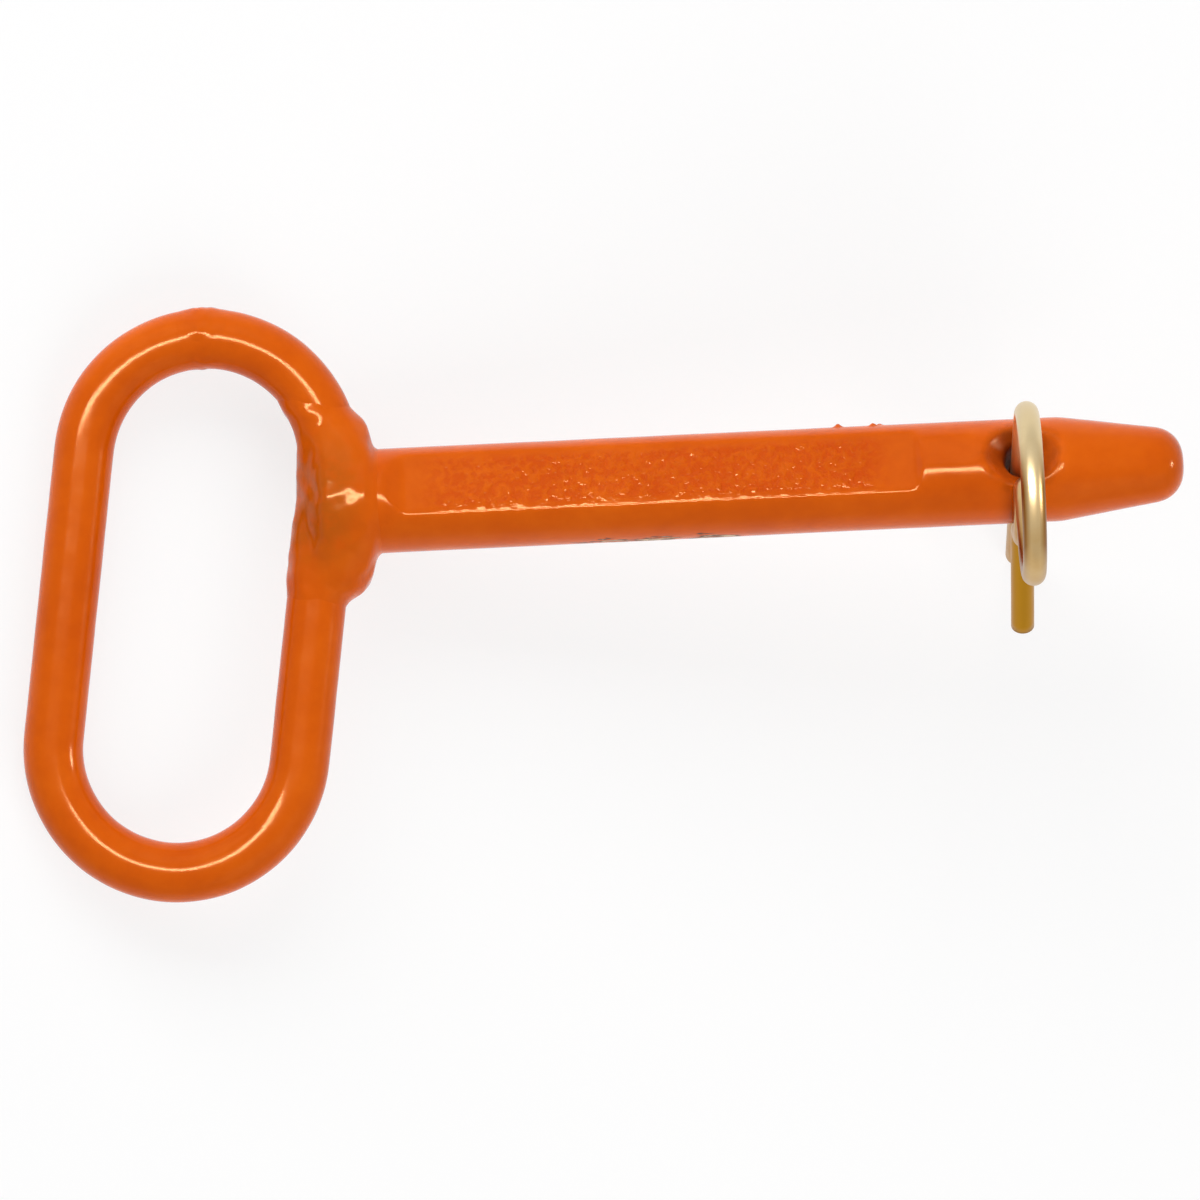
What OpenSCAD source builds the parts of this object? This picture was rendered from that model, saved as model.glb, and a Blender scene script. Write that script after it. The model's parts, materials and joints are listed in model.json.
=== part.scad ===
// Fixed handle hitch pin: a round steel pin welded to a closed loop handle,
// kept in place by a hairpin cotter clip through its cross hole.
//
// Each piece is drawn in the frame of the thing it belongs to, then laid down:
// - shank frame: the pin's axis is +X and its centre line meets the handle bar at 0.
// - handle frame: the handle's long side is +Y and its face is +Z.
// - clip plane: s runs down the straight leg, t across it towards the outer leg.
// The part lies on the far bar of its handle and on the tip of the clip.

/* [Pin] */
// Diameter of the pin
pin_d = 22.2; // [16:0.1:32]
// Length from the centre line of the handle bar to the end of the nose
pin_len = 181.5; // [150:0.5:240]
// Length of the tapered end, nose included
taper_len = 26.3; // [15:0.1:45]
// Half angle of the taper
taper_angle = 8.5; // [3:0.5:12]
// Radius that rounds the nose
nose_r = 6.5; // [3:0.1:7]

/* [Cross hole] */
// Distance from the end of the nose to the hole's axis
hole_from_end = 34.3; // [32:0.1:45]
// Diameter of the hole
hole_d = 7.8; // [6.5:0.1:9]
// Turn of the hole and the pad out of the handle's face
hole_turn = 20; // [0:1:40]
// Diameter of the countersink that the clip goes in by, at the pin's crown
sink_d = 16.5; // [10:0.1:18]
// Depth of the chamfer where the hole comes out
exit_chamfer = 0.8; // [0.2:0.1:1.5]

/* [Pad] */
// Depth of the flat pad along the pin
pad_depth = 2.3; // [0.5:0.1:2.4]
// Distance from the centre line of the handle bar to the pad
pad_start = 16.5; // [15:0.5:30]
// Length of the pad's flat
pad_len = 108; // [60:1:110]
// Slope of the pad's two end walls
pad_end_angle = 50; // [30:1:80]
// Length of the shallow flat between the pad and the cross hole
runout_len = 12.5; // [4:0.5:13]
// Depth of the shallow flat
runout_depth = 0.5; // [0.2:0.1:1]
// Turn of the shallow flat from the pad
runout_turn = 10; // [0:1:20]

/* [Handle] */
// Diameter of the handle's bar
bar_d = 12.7; // [10:0.1:16]
// Length of the handle over its ends
loop_len = 126; // [110:1:160]
// Width of the handle over its bars
loop_w = 65; // [55:1:80]
// Distance from the middle of the handle to the pin
pin_offset = 24.5; // [0:0.5:28]
// Lean of the handle off square to the pin
lean = 8.7; // [0:0.1:15]

/* [Welds] */
// How far the joint's bead runs along the pin, from the handle bar's centre line
bead_len = 10.2; // [9:0.1:14]
// Height of the bead over the pin at its thin end
bead_lip = 0.3; // [0.2:0.1:1]
// How far the bead spreads along the handle bar, to each side of the pin's axis
bead_spread = 20.8; // [18:0.1:24]
// Thickness of the bead over the handle bar
bead_skin = 1; // [0.5:0.1:1.5]
// How far the bead's lower lobe stands out past its upper one
bead_sag = 2.4; // [0:0.1:4]
// Gap between the ends of the handle's bar, which the seam weld fills
seam_gap = 6; // [2:0.5:6.5]
// Height of the seam weld over the bar
seam_lip = 0.9; // [0.8:0.1:1.5]
// Place of the seam weld, as an angle round the handle's upper end
seam_angle = 98; // [60:1:120]

/* [Clip] */
// Diameter of the clip's wire
wire_d = 5; // [3:0.1:6]
// Outside diameter of the clip's eye
eye_d = 38.5; // [30:0.5:44]
// Distance from the pin's axis to the middle of the eye
eye_reach = 34; // [32:0.5:42]
// Distance from the pin's axis to the tip of the straight leg
leg_reach = 50; // [40:0.5:60]
// Radius of the bend between the eye and the pin, to the middle of the wire
neck_r = 5; // [4.8:0.1:7]
// Gap between the straight leg and the outer leg behind the pin
throat_gap = 2.5; // [1:0.1:5]
// Radius of the bend behind the pin, to the middle of the wire
throat_r = 6; // [4:0.1:10]
// Length of the outer leg's flared end
flare_len = 28; // [15:0.5:35]
// Angle of the outer leg's flared end to the straight leg
flare_angle = 23; // [10:1:35]
// Chamfer of the outer leg's cut end
cut_chamfer = 0.4; // [0.1:0.1:1]
// Gap left between the clip and the pin where they touch
clip_clearance = 0.25; // [0.1:0.05:0.5]

/* [Hidden] */
$fn = 64;
past = 1;        // how far a cutting shape runs past what it cuts
ball_over = 0.02; // how far the balls that join the wire's bends stand out of it
bead_in = 0.2;   // how far the bead stays in from the bar's inner side

pin_r = pin_d / 2;
bar_r = bar_d / 2;
wire_r = wire_d / 2;
hole_r = hole_d / 2;
hole_x = pin_len - hole_from_end;

// Handle: the middle of the bar runs round a rectangle closed by two half circles
bend_r = (loop_w - bar_d) / 2;
half_side = (loop_len - loop_w) / 2;
seam_half_angle = round(100 * atan(seam_gap / 2 / bend_r)) / 100;
seam_r = bar_r + seam_lip;

// Nose: a circle that is tangent to the taper and ends at pin_len
nose_x = pin_len - nose_r;
taper_x = pin_len - taper_len;
tangent_x = nose_x + nose_r * sin(taper_angle);
tangent_r = pin_r - (tangent_x - taper_x) * tan(taper_angle);
nose_ring_r = tangent_r - nose_r * cos(taper_angle);

// Clip: the straight leg lies against the hole's wall, towards the outer leg
leg_shift = hole_r - wire_r - clip_clearance;
eye_r = (eye_d - wire_d) / 2;
eye_mid = [-eye_reach, eye_r];
pin_mid = [0, -leg_shift];
wrap_r = pin_r + clip_clearance + wire_r;
neck_mid = touching(eye_mid, eye_r + neck_r, pin_mid, wrap_r + neck_r);
throat_t = wire_d + throat_gap + throat_r;
throat_mid = [sqrt(pow(wrap_r + throat_r, 2) - pow(throat_t - pin_mid.y, 2)), throat_t];
flare_start = throat_mid + throat_r * [sin(flare_angle), -cos(flare_angle)];
leg_tip = leg_reach - wire_r;

// Rest: the plane that touches the handle's far bar and the rounded leg tip
tip_side = -leg_tip * sin(hole_turn) - leg_shift * cos(hole_turn);
tip_x = hole_x * cos(lean) - tip_side * sin(lean) + 2 * bend_r;
tip_z = -leg_tip * cos(hole_turn) + leg_shift * sin(hole_turn);
rest_tilt = atan2(-tip_z, tip_x) + asin((wire_r - bar_r) / norm([tip_x, tip_z]));
nose_turn = acos(cos(lean) * cos(rest_tilt));
x_high = nose_x * cos(nose_turn) + nose_r + nose_ring_r * sin(nose_turn);
x_low = -2 * bend_r * cos(rest_tilt) - bar_r;
y_high = max(loop_len / 2, half_side + bend_r * sin(seam_angle) + seam_r) - pin_offset;
y_low = -loop_len / 2 - pin_offset;
floor_z = -bar_r - 2 * bend_r * sin(rest_tilt);

// The point at distance a from p and b from q, on the left of the line from p to q
function touching(p, a, q, b) =
    let (way = q - p,
         d = norm(way),
         along = (a * a - b * b + d * d) / (2 * d),
         up = sqrt(a * a - along * along))
    p + along * way / d + up * [-way.y, way.x] / d;

// The direction from p to q, in degrees
function heading(p, q) = atan2(q.y - p.y, q.x - p.x);

// The point at distance d from p on the way to q
function along(p, q, d) = p + d * (q - p) / norm(q - p);

// Lays the part down as it comes to rest, centred over its footprint
module at_rest() {
    translate([-(x_high + x_low) / 2, -(y_high + y_low) / 2, -floor_z])
        rotate([0, -rest_tilt, 0])
            children();
}

// From the shank frame to the handle frame
module along_pin() {
    rotate([0, 0, lean])
        children();
}

// Turns the shank's upper side to the way that the hole and the pad face
module facing_hole(turn = hole_turn) {
    rotate([-turn, 0, 0])
        children();
}

// A round bar along an arc of the handle frame, from angle a to angle b
module bar_arc(r, a, b) {
    rotate_extrude(angle = b - a, start = a)
        translate([bend_r, 0])
            circle(r);
}

// The handle's bar, closed all the way round when gap is 0
module handle_bar(gap) {
    translate([-bend_r, -pin_offset, 0]) {
        for (side = [-1, 1])
            translate([side * bend_r, -half_side, 0])
                rotate([-90, 0, 0])
                    cylinder(r = bar_r, h = 2 * half_side);
        translate([0, half_side, 0]) {
            bar_arc(bar_r, 0, seam_angle - gap);
            bar_arc(bar_r, seam_angle + gap, 180);
        }
        translate([0, -half_side, 0])
            bar_arc(bar_r, 180, 360);
    }
}

// The pin's outline in the shank frame, before anything is cut into it
module pin_blank() {
    rotate([0, 90, 0])
        rotate_extrude()
            union() {
                polygon([
                    [0, 0],
                    [pin_r, 0],
                    [pin_r, taper_x],
                    [tangent_r, tangent_x],
                    [nose_ring_r, pin_len],
                    [0, pin_len]
                ]);
                intersection() {
                    translate([nose_ring_r, nose_x])
                        circle(nose_r);
                    translate([0, nose_x])
                        square(2 * nose_r);
                }
            }
}

// The cross hole with its countersink and exit chamfer, along +Z in the shank frame
module cross_hole() {
    translate([hole_x, 0, 0]) {
        cylinder(r = hole_r, h = 2 * (pin_r + past), center = true);
        translate([0, 0, pin_r - (sink_d / 2 - hole_r)])
            cylinder(r1 = hole_r, r2 = hole_r + sink_d, h = sink_d);
        mirror([0, 0, 1])
            translate([0, 0, pin_r - exit_chamfer])
                cylinder(r1 = hole_r, r2 = hole_r + exit_chamfer + past, h = exit_chamfer + past);
    }
}

// A flat cut across the pin at depth, with sloping ends
module flat_cut(start, length, depth, end_angle) {
    flat_z = pin_r - depth;
    rise = depth + past;
    run = rise / tan(end_angle);
    translate([0, pin_r, 0])
        rotate([90, 0, 0])
            linear_extrude(2 * pin_r)
                polygon([
                    [start, flat_z],
                    [start + length, flat_z],
                    [start + length + run, flat_z + rise],
                    [start - run, flat_z + rise]
                ]);
}

module shank() {
    color("#dc5c0c")
    at_rest()
    difference() {
        along_pin()
            difference() {
                pin_blank();
                facing_hole()
                    cross_hole();
                facing_hole()
                    flat_cut(pad_start, pad_len, pad_depth, pad_end_angle);
                facing_hole(hole_turn + runout_turn)
                    flat_cut(pad_start + pad_len, runout_len, runout_depth, pad_end_angle);
            }
        handle_bar(0);
    }
}

module handle_loop() {
    color("#d8560a")
    at_rest()
        handle_bar(seam_half_angle);
}

// The bead round the joint: a skin over the bar that runs up to the pin's end
module handle_weld() {
    lobe_r = bar_r + bead_skin;
    lobe_y = bead_spread - lobe_r;
    shift = bead_skin + bead_in;
    into_bend = max(0, lobe_y + pin_offset - half_side);
    upper_x = sqrt(pow(bend_r, 2) - pow(into_bend, 2)) - bend_r;
    color("#cf500a")
    at_rest()
    difference() {
        hull() {
            along_pin()
                rotate([0, 90, 0])
                    cylinder(r = pin_r + bead_lip, h = bead_len, $fn = 48);
            for (place = [[upper_x + shift, lobe_y], [shift, 0], [shift + bead_sag, -lobe_y]])
                translate([place.x, place.y, 0])
                    sphere(lobe_r, $fn = 32);
        }
        handle_bar(0);
        along_pin()
            rotate([0, 90, 0])
                cylinder(r = pin_r, h = 2 * bead_len);
    }
}

// The slug of weld metal that closes the handle's bar, swollen between the bar's ends
module loop_seam_weld() {
    color("#cf500a")
    at_rest()
    translate([-bend_r, half_side - pin_offset, 0])
        intersection() {
            bar_arc(bar_d, seam_angle - seam_half_angle, seam_angle + seam_half_angle);
            rotate([0, 0, seam_angle])
                translate([bend_r, 0, 0])
                    rotate([90, 0, 0])
                        sphere(seam_r);
        }
}

// Puts a shape drawn in the clip's plane, with s on X and t on Y, through the cross hole
module in_clip_plane() {
    at_rest()
    along_pin()
    facing_hole()
    translate([hole_x, -leg_shift, 0])
    rotate(180, [1, 0, -1])
        children();
}

// A stretch of wire along an arc round mid, from angle a to angle b
module wire_arc(mid, r, a, b) {
    translate([mid.x, mid.y, 0])
        rotate_extrude(angle = b - a, start = a)
            translate([r, 0])
                circle(wire_r);
}

// A straight stretch of wire from p, along direction a in degrees, chamfered at its end
module wire_line(p, a, length, chamfer = 0) {
    translate([p.x, p.y, 0])
        rotate([0, 90, a]) {
            cylinder(r = wire_r, h = length - chamfer);
            if (chamfer > 0)
                translate([0, 0, length - chamfer])
                    cylinder(r1 = wire_r, r2 = wire_r - chamfer, h = chamfer);
        }
}

// A ball on the wire at p, with its poles along direction a in degrees
module wire_ball(p, a, r) {
    translate([p.x, p.y, 0])
        rotate([0, 90, a])
            sphere(r);
}

// The ends of the bends, where one stretch of the wire runs into the next, and the wire's
// direction there
bend_ends = [
    [along(eye_mid, neck_mid, eye_r), heading(eye_mid, neck_mid) + 90],
    [along(neck_mid, pin_mid, neck_r), heading(neck_mid, pin_mid) + 90],
    [along(pin_mid, throat_mid, wrap_r), heading(pin_mid, throat_mid) + 90],
    [flare_start, flare_angle]
];

// One stretch of the wire, counted from the straight leg and the eye
module wire_stretch(i) {
    if (i == 0) {
        wire_line([-eye_reach, 0], 0, eye_reach + leg_tip);
        wire_ball([leg_tip, 0], 0, wire_r);
        wire_arc(eye_mid, eye_r, heading(eye_mid, neck_mid), 270);
    }
    if (i == 1)
        wire_arc(neck_mid, neck_r, heading(neck_mid, eye_mid), 360 + heading(neck_mid, pin_mid));
    if (i == 2)
        wire_arc(pin_mid, wrap_r, heading(pin_mid, throat_mid), heading(pin_mid, neck_mid));
    if (i == 3)
        wire_arc(throat_mid, throat_r, heading(throat_mid, pin_mid), flare_angle - 90);
    if (i == 4)
        wire_line(flare_start, flare_angle, flare_len, cut_chamfer);
}

// The wire up to stretch i, with a ball over each bend's end that makes one solid of it
module wire_up_to(i) {
    if (i > 0)
        wire_up_to(i - 1);
    wire_stretch(i);
    if (i < len(bend_ends))
        wire_ball(bend_ends[i][0], bend_ends[i][1], wire_r + ball_over);
}

module hairpin_clip() {
    color("#c9a45c")
    in_clip_plane()
        wire_up_to(len(bend_ends));
}

shank();
handle_loop();
handle_weld();
loop_seam_weld();
hairpin_clip();
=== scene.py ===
"""Fixed handle hitch pin: the dressed model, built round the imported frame.

Each piece is modelled in millimetres in the frame of the thing it belongs to, then laid
down in the row frame, in metres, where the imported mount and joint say:
- shank frame: the pin's axis is +X and its centre line meets the handle bar at 0.
- handle frame: the handle's long side is +Y and its face is +Z.
- clip plane: X runs down the clip's straight leg and Y towards its outer leg.
"""

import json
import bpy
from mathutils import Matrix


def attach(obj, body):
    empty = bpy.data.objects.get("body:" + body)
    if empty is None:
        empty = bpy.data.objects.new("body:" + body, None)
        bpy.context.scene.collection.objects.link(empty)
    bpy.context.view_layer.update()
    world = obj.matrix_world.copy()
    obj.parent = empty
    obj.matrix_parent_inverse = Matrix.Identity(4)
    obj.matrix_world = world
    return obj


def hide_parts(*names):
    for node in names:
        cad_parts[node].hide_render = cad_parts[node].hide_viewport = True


bl_info = {
    "name": "Fixed Handle Hitch Pin",
    "version": (1, 0, 0),
    "blender": (4, 5, 0),
    "location": "3D View > Sidebar > Hitch Pin",
    "description": "Builds an enamelled hitch pin with a loop handle and a hairpin clip",
    "category": "Add Mesh",
}

from math import atan2, cos, degrees, exp, pi, radians, sin, sqrt, tan

import bmesh
import bpy
from bpy.props import FloatProperty, FloatVectorProperty, PointerProperty
from mathutils import Matrix, Vector, noise

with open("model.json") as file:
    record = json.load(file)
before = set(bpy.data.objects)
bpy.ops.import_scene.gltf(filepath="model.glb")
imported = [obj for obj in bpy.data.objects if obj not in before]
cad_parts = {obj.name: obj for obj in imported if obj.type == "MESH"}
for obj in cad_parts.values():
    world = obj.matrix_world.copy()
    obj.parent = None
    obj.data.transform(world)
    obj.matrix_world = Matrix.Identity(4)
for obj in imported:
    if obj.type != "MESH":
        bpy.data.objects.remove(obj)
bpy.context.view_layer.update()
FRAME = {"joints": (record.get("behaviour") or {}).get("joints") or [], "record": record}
MM = 0.001


def length(name, description, default, low, high):
    """A size that is kept in metres and given here in millimetres."""
    return FloatProperty(name=name, description=description, default=default * MM,
                         min=low * MM, max=high * MM, precision=5, unit="LENGTH",
                         subtype="DISTANCE")


def turn(name, description, default, low, high):
    """An angle that is kept in radians and given here in degrees."""
    return FloatProperty(name=name, description=description, default=radians(default),
                         min=radians(low), max=radians(high), subtype="ANGLE")


def linear(hex_code):
    """An sRGB hex colour as the linear numbers that a shader takes."""
    channels = [int(hex_code[i:i + 2], 16) / 255 for i in (1, 3, 5)]
    return [c / 12.92 if c <= 0.04045 else ((c + 0.055) / 1.055) ** 2.4 for c in channels]


def colour(name, description, hex_code):
    """A colour that a user can change, given as an sRGB hex value."""
    return FloatVectorProperty(name=name, description=description, size=3, min=0, max=1,
                               subtype="COLOR", default=linear(hex_code))


class HitchPinSizes(bpy.types.PropertyGroup):
    """The sizes that the pieces are made from."""

    pin_d: length("Pin diameter", "Diameter of the round shank", 22.2, 16, 32)
    pin_len: length("Pin length",
                    "From the handle bar's centre line to the end of the nose",
                    181.5, 150, 240)
    taper_len: length("Taper length", "Length of the tapered end, nose included",
                      26.3, 15, 45)
    taper_angle: turn("Taper angle", "Half angle of the taper", 8.5, 3, 12)
    nose_r: length("Nose radius", "Radius that rounds the nose", 6.5, 3, 7)
    hole_from_end: length("Hole from end", "From the end of the nose to the cross hole",
                          34.3, 32, 45)
    hole_d: length("Hole diameter", "Diameter of the cross hole", 7.8, 6.5, 9)
    hole_turn: turn("Hole turn", "Turn of the hole and the pad out of the handle's face",
                    20, 0, 40)
    sink_d: length("Countersink diameter",
                   "Countersink on the side that the clip goes in by", 16.5, 10, 18)
    exit_chamfer: length("Exit chamfer", "Chamfer where the hole comes out", 0.8, 0.2, 1.5)
    pad_depth: length("Pad depth", "Depth of the flat pad along the pin", 2.3, 0.5, 2.4)
    pad_start: length("Pad start", "From the handle bar's centre line to the pad",
                      16.5, 15, 30)
    pad_len: length("Pad length", "Length of the pad's flat", 108, 60, 110)
    pad_end_angle: turn("Pad end angle", "Slope of the end walls towards the nose",
                        50, 30, 80)
    runout_len: length("Run-out length", "Length of the shallow flat after the pad",
                       12.5, 4, 13)
    runout_depth: length("Run-out depth", "Depth of the shallow flat", 0.5, 0.2, 1)
    runout_turn: turn("Run-out turn", "Turn of the shallow flat from the pad", 10, 0, 20)
    bar_d: length("Bar diameter", "Diameter of the handle's bar", 12.7, 10, 16)
    loop_len: length("Handle length", "Length of the handle over its ends", 126, 110, 160)
    loop_w: length("Handle width", "Width of the handle over its bars", 65, 55, 80)
    pin_offset: length("Pin offset", "From the middle of the handle to the pin",
                       24.5, 0, 28)
    lean: turn("Lean", "Lean of the handle off square to the pin", 8.7, 0, 15)
    bead_len: length("Bead length", "How far the bead runs along the pin", 10.2, 9, 14)
    bead_lip: length("Bead lip", "Height of the bead over the pin at its thin end",
                     0.3, 0.2, 1)
    bead_spread: length("Bead spread", "How far the bead spreads along the handle bar",
                        20.8, 18, 24)
    bead_skin: length("Bead skin", "Thickness of the bead over the handle bar", 1, 0.5, 1.5)
    bead_sag: length("Bead sag", "How far the bead's lower lobe stands out", 2.4, 0, 4)
    seam_lip: length("Seam lip", "Height of the seam weld over the bar", 0.9, 0.8, 1.5)
    seam_angle: turn("Seam angle", "Place of the seam weld round the handle's end",
                     98, 60, 120)
    wire_d: length("Wire diameter", "Diameter of the clip's wire", 5, 3, 6)
    eye_d: length("Eye diameter", "Outside diameter of the clip's eye", 38.5, 30, 44)
    eye_reach: length("Eye reach", "From the pin's axis to the middle of the eye",
                      34, 32, 42)
    leg_reach: length("Leg reach", "From the pin's axis to the tip of the straight leg",
                      50, 40, 60)
    neck_r: length("Neck radius", "Bend between the eye and the pin", 5, 4.8, 7)
    throat_gap: length("Throat gap", "Gap between the two legs behind the pin", 2.5, 1, 5)
    throat_r: length("Throat radius", "Bend behind the pin", 6, 4, 10)
    flare_len: length("Flare length", "Length of the outer leg's flared end", 28, 15, 35)
    flare_angle: turn("Flare angle", "Angle of the flared end to the straight leg",
                      23, 10, 35)
    clip_clearance: length("Clip clearance", "Gap between the clip and the pin",
                           0.25, 0.1, 0.5)


class HitchPinColours(bpy.types.PropertyGroup):
    """The colours of the finishes, as they look in plain light."""

    enamel: colour("Enamel", "The orange enamel over most of the steel", "#D95B06")
    enamel_light: colour("Thin enamel", "Where the enamel runs thin and pale", "#DF620A")
    enamel_deep: colour("Thick enamel", "Where the enamel runs thick", "#D25506")
    enamel_pooled: colour("Pooled enamel", "The browner film in the joint weld", "#B4560E")
    enamel_red: colour("Pad enamel", "The redder film in the pad's hollows", "#CB3E08")
    # bare steel in a chip, made pale enough to be partly a painted highlight along the
    # pin's lower edge
    chip_steel_and_glint: colour("Bare steel", "Dull steel in a chip", "#D8BF9C")
    rust: colour("Rust", "Light rust round a chip", "#5E3210")
    # painted shade: the dark brown laid in and round the cross hole, where shade falls
    hole_shade: colour("Hole_shade", "Brown grease and rust in the cross hole", "#4A1A0C")
    # the pale end of the clip's film: bright zinc, which also stands in for a painted
    # highlight where the eye is made palest
    zinc: colour("Zinc", "Bright zinc plating on the clip", "#E0CA9E")
    # the deep end of the clip's film: the passivate's own gold, also used as painted shade
    # down the legs and towards the outer leg
    gold_passivate_and_shade: colour("Gold passivate", "Yellow passivate on the plating", "#B27E1A")
    # painted reflection and shade: the brown laid on the eye's flanks, not a colour of the
    # plating
    zinc_flank_shade: colour("Brown passivate", "Where the passivate has run and dried",
                       "#8A5C1E")
    floor: colour("Floor", "The pale floor", "#FFFFFF")


def sizes():
    """The scene's sizes, and those that follow from them."""
    return Sizes(bpy.context.scene.hitch_pin_sizes)


class Sizes:
    """The property group's lengths in millimetres and its angles in radians, by name."""

    def __init__(self, group):
        for name, prop in group.bl_rna.properties.items():
            if prop.type == "FLOAT":
                value = getattr(group, name)
                setattr(self, name, value if prop.subtype == "ANGLE" else value / MM)
        self.pin_r = self.pin_d / 2
        self.bar_r = self.bar_d / 2
        self.wire_r = self.wire_d / 2
        self.hole_r = self.hole_d / 2
        self.hole_x = self.pin_len - self.hole_from_end
        self.bend_r = (self.loop_w - self.bar_d) / 2
        self.half_side = (self.loop_len - self.loop_w) / 2
        self.leg_shift = self.hole_r - self.wire_r - self.clip_clearance


# ---- Frames ------------------------------------------------------------------------------

MOUNT_X = 74.575  # where the record's shank mount lies on the pin, in the shank frame


def basis(x_axis, y_axis, z_axis, origin):
    """The matrix from a frame with these axes and origin to the row frame, in metres."""
    turned = Matrix((x_axis, y_axis, z_axis)).transposed().to_4x4()
    return Matrix.Translation(origin) @ turned


def shank_frame(s):
    """From the shank frame to the row frame, from the record's mount and joint."""
    mount = FRAME["record"]["mounts"][0]
    pull = Vector(FRAME["joints"][0]["axis"]).normalized()
    along = Vector(mount["axis"]).normalized()
    up = Matrix.Rotation(s.hole_turn, 3, along) @ pull
    up = (up - up.dot(along) * along).normalized()
    origin = Vector(mount["pos_m"]) - along * MOUNT_X * MM
    return basis(along, up.cross(along), up, origin) @ Matrix.Scale(MM, 4)


def handle_frame(s):
    """From the handle frame to the row frame."""
    return shank_frame(s) @ Matrix.Rotation(-s.lean, 4, "Z")


def clip_frame(s):
    """From the clip's plane to the row frame."""
    return (shank_frame(s) @ Matrix.Rotation(-s.hole_turn, 4, "X")
            @ Matrix.Translation((s.hole_x, -s.leg_shift, 0))
            @ Matrix.Rotation(pi, 4, Vector((1, 0, -1))))


# ---- Modelling ---------------------------------------------------------------------------

def ring(bm, radius, segments, matrix):
    """A circle of edges, ready to be spun or extruded, in the order they are found in."""
    made = bmesh.ops.create_circle(bm, cap_ends=False, radius=radius, segments=segments,
                                   matrix=matrix)
    verts = made["verts"]
    return verts, list(dict.fromkeys(e for v in verts for e in v.link_edges))


def last_of(geom):
    """The vertices and edges of a result's last ring."""
    return ([g for g in geom if isinstance(g, bmesh.types.BMVert)],
            [g for g in geom if isinstance(g, bmesh.types.BMEdge)])


def run_straight(bm, verts, edges, step, count):
    """Extrudes a ring along a straight line, count times by step."""
    for _ in range(count):
        geom = bmesh.ops.extrude_edge_only(bm, edges=edges)["geom"]
        verts, edges = last_of(geom)
        bmesh.ops.translate(bm, verts=verts, vec=step)
    return verts, edges


def run_bend(bm, verts, edges, centre, axis, angle, count):
    """Spins a ring round a bend."""
    geom = bmesh.ops.spin(bm, geom=verts + edges, cent=centre, axis=axis, angle=angle,
                          steps=count, use_merge=False, use_duplicate=False)["geom_last"]
    return last_of(geom)


def close_ring(bm, edges):
    """Closes an open ring with one face."""
    bmesh.ops.contextual_create(bm, geom=edges)


def mesh_of(bm, name):
    """A new mesh from a bmesh, which is freed."""
    mesh = bpy.data.meshes.new(name)
    bm.to_mesh(mesh)
    bm.free()
    return mesh


def with_modifiers(bm, add):
    """The bmesh after the modifiers that add() puts on a passing object."""
    obj = bpy.data.objects.new("passing", mesh_of(bm, "passing"))
    bpy.context.scene.collection.objects.link(obj)
    helpers = add(obj) or []
    depsgraph = bpy.context.evaluated_depsgraph_get()
    mesh = bpy.data.meshes.new_from_object(obj.evaluated_get(depsgraph))
    made = bmesh.new()
    made.from_mesh(mesh)
    for gone in [obj] + helpers:
        old = gone.data
        bpy.data.objects.remove(gone)
        bpy.data.meshes.remove(old)
    bpy.data.meshes.remove(mesh)
    return made


def carved(bm, cutters):
    """The bmesh less each cutter."""
    def add(obj):
        helpers = []
        for i, cutter in enumerate(cutters):
            tool = bpy.data.objects.new(f"cutter_{i}", mesh_of(cutter, "cutter"))
            bpy.context.scene.collection.objects.link(tool)
            cut = obj.modifiers.new("cut", "BOOLEAN")
            cut.operation, cut.solver, cut.object = "DIFFERENCE", "MANIFOLD", tool
            helpers.append(tool)
        return helpers
    return with_modifiers(bm, add)


def skinned(bm, voxel, passes):
    """One even skin over all the shells of the bmesh, with its edges softened."""
    def add(obj):
        skin = obj.modifiers.new("skin", "REMESH")
        skin.mode, skin.voxel_size, skin.adaptivity = "VOXEL", voxel, 0
    made = with_modifiers(bm, add)
    for _ in range(passes):
        bmesh.ops.smooth_vert(made, verts=made.verts, factor=0.5, use_axis_x=True,
                              use_axis_y=True, use_axis_z=True)
    return made


def swell(bm, height):
    """Moves each vertex along its normal by height(position, normal), in millimetres."""
    bm.normal_update()
    for vert, move in [(v, v.normal * height(v.co, v.normal)) for v in bm.verts]:
        vert.co += move


def lumps(p, size, seed=0.0):
    """Smooth noise from -1 to 1 with lumps of about this size in millimetres."""
    return noise.noise(p / size + Vector((seed, seed * 1.7, seed * 2.3)))


def blend_in(x, start, end):
    """0 before start, 1 after end, with a smooth rise between them."""
    t = min(max((x - start) / (end - start), 0), 1)
    return t * t * (3 - 2 * t)


def place_piece(name, bm, matrix, material, body, slot, *nodes):
    """Lays a finished piece down in the row frame, with its faces outwards, and says what
    it rides on and which nodes it replaces."""
    bm.transform(matrix)
    bmesh.ops.recalc_face_normals(bm, faces=bm.faces)
    if bm.calc_volume(signed=True) < 0:
        bmesh.ops.reverse_faces(bm, faces=bm.faces)
    # extruding and spinning list the faces in an order that changes from run to run
    bm.verts.index_update()
    in_order = sorted(bm.faces, key=lambda face: [v.index for v in face.verts])
    for i, face in enumerate(in_order):
        face.index, face.smooth = i, True
    bm.faces.sort()
    obj = bpy.data.objects.new(name, mesh_of(bm, name))
    bpy.context.scene.collection.objects.link(obj)
    obj.data.materials.append(material)
    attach(obj, body)
    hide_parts(*nodes)


# ---- Materials ---------------------------------------------------------------------------

# Where a finish shows, in millimetres: it comes in over the first two and goes out over the
# last two. The first three run along the pin from the handle bar's centre line.
LUMPY = (20, 30, 112, 122)
MOTTLED = (18, 26, 114, 121)
CHIPPED = (38, 58, 84, 104)
# where the painted reflection and shade on the eye's flanks lies, across the clip
FLANK_SHADE = (12, 22, 32, 36)  # across the clip, from its straight leg


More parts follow.
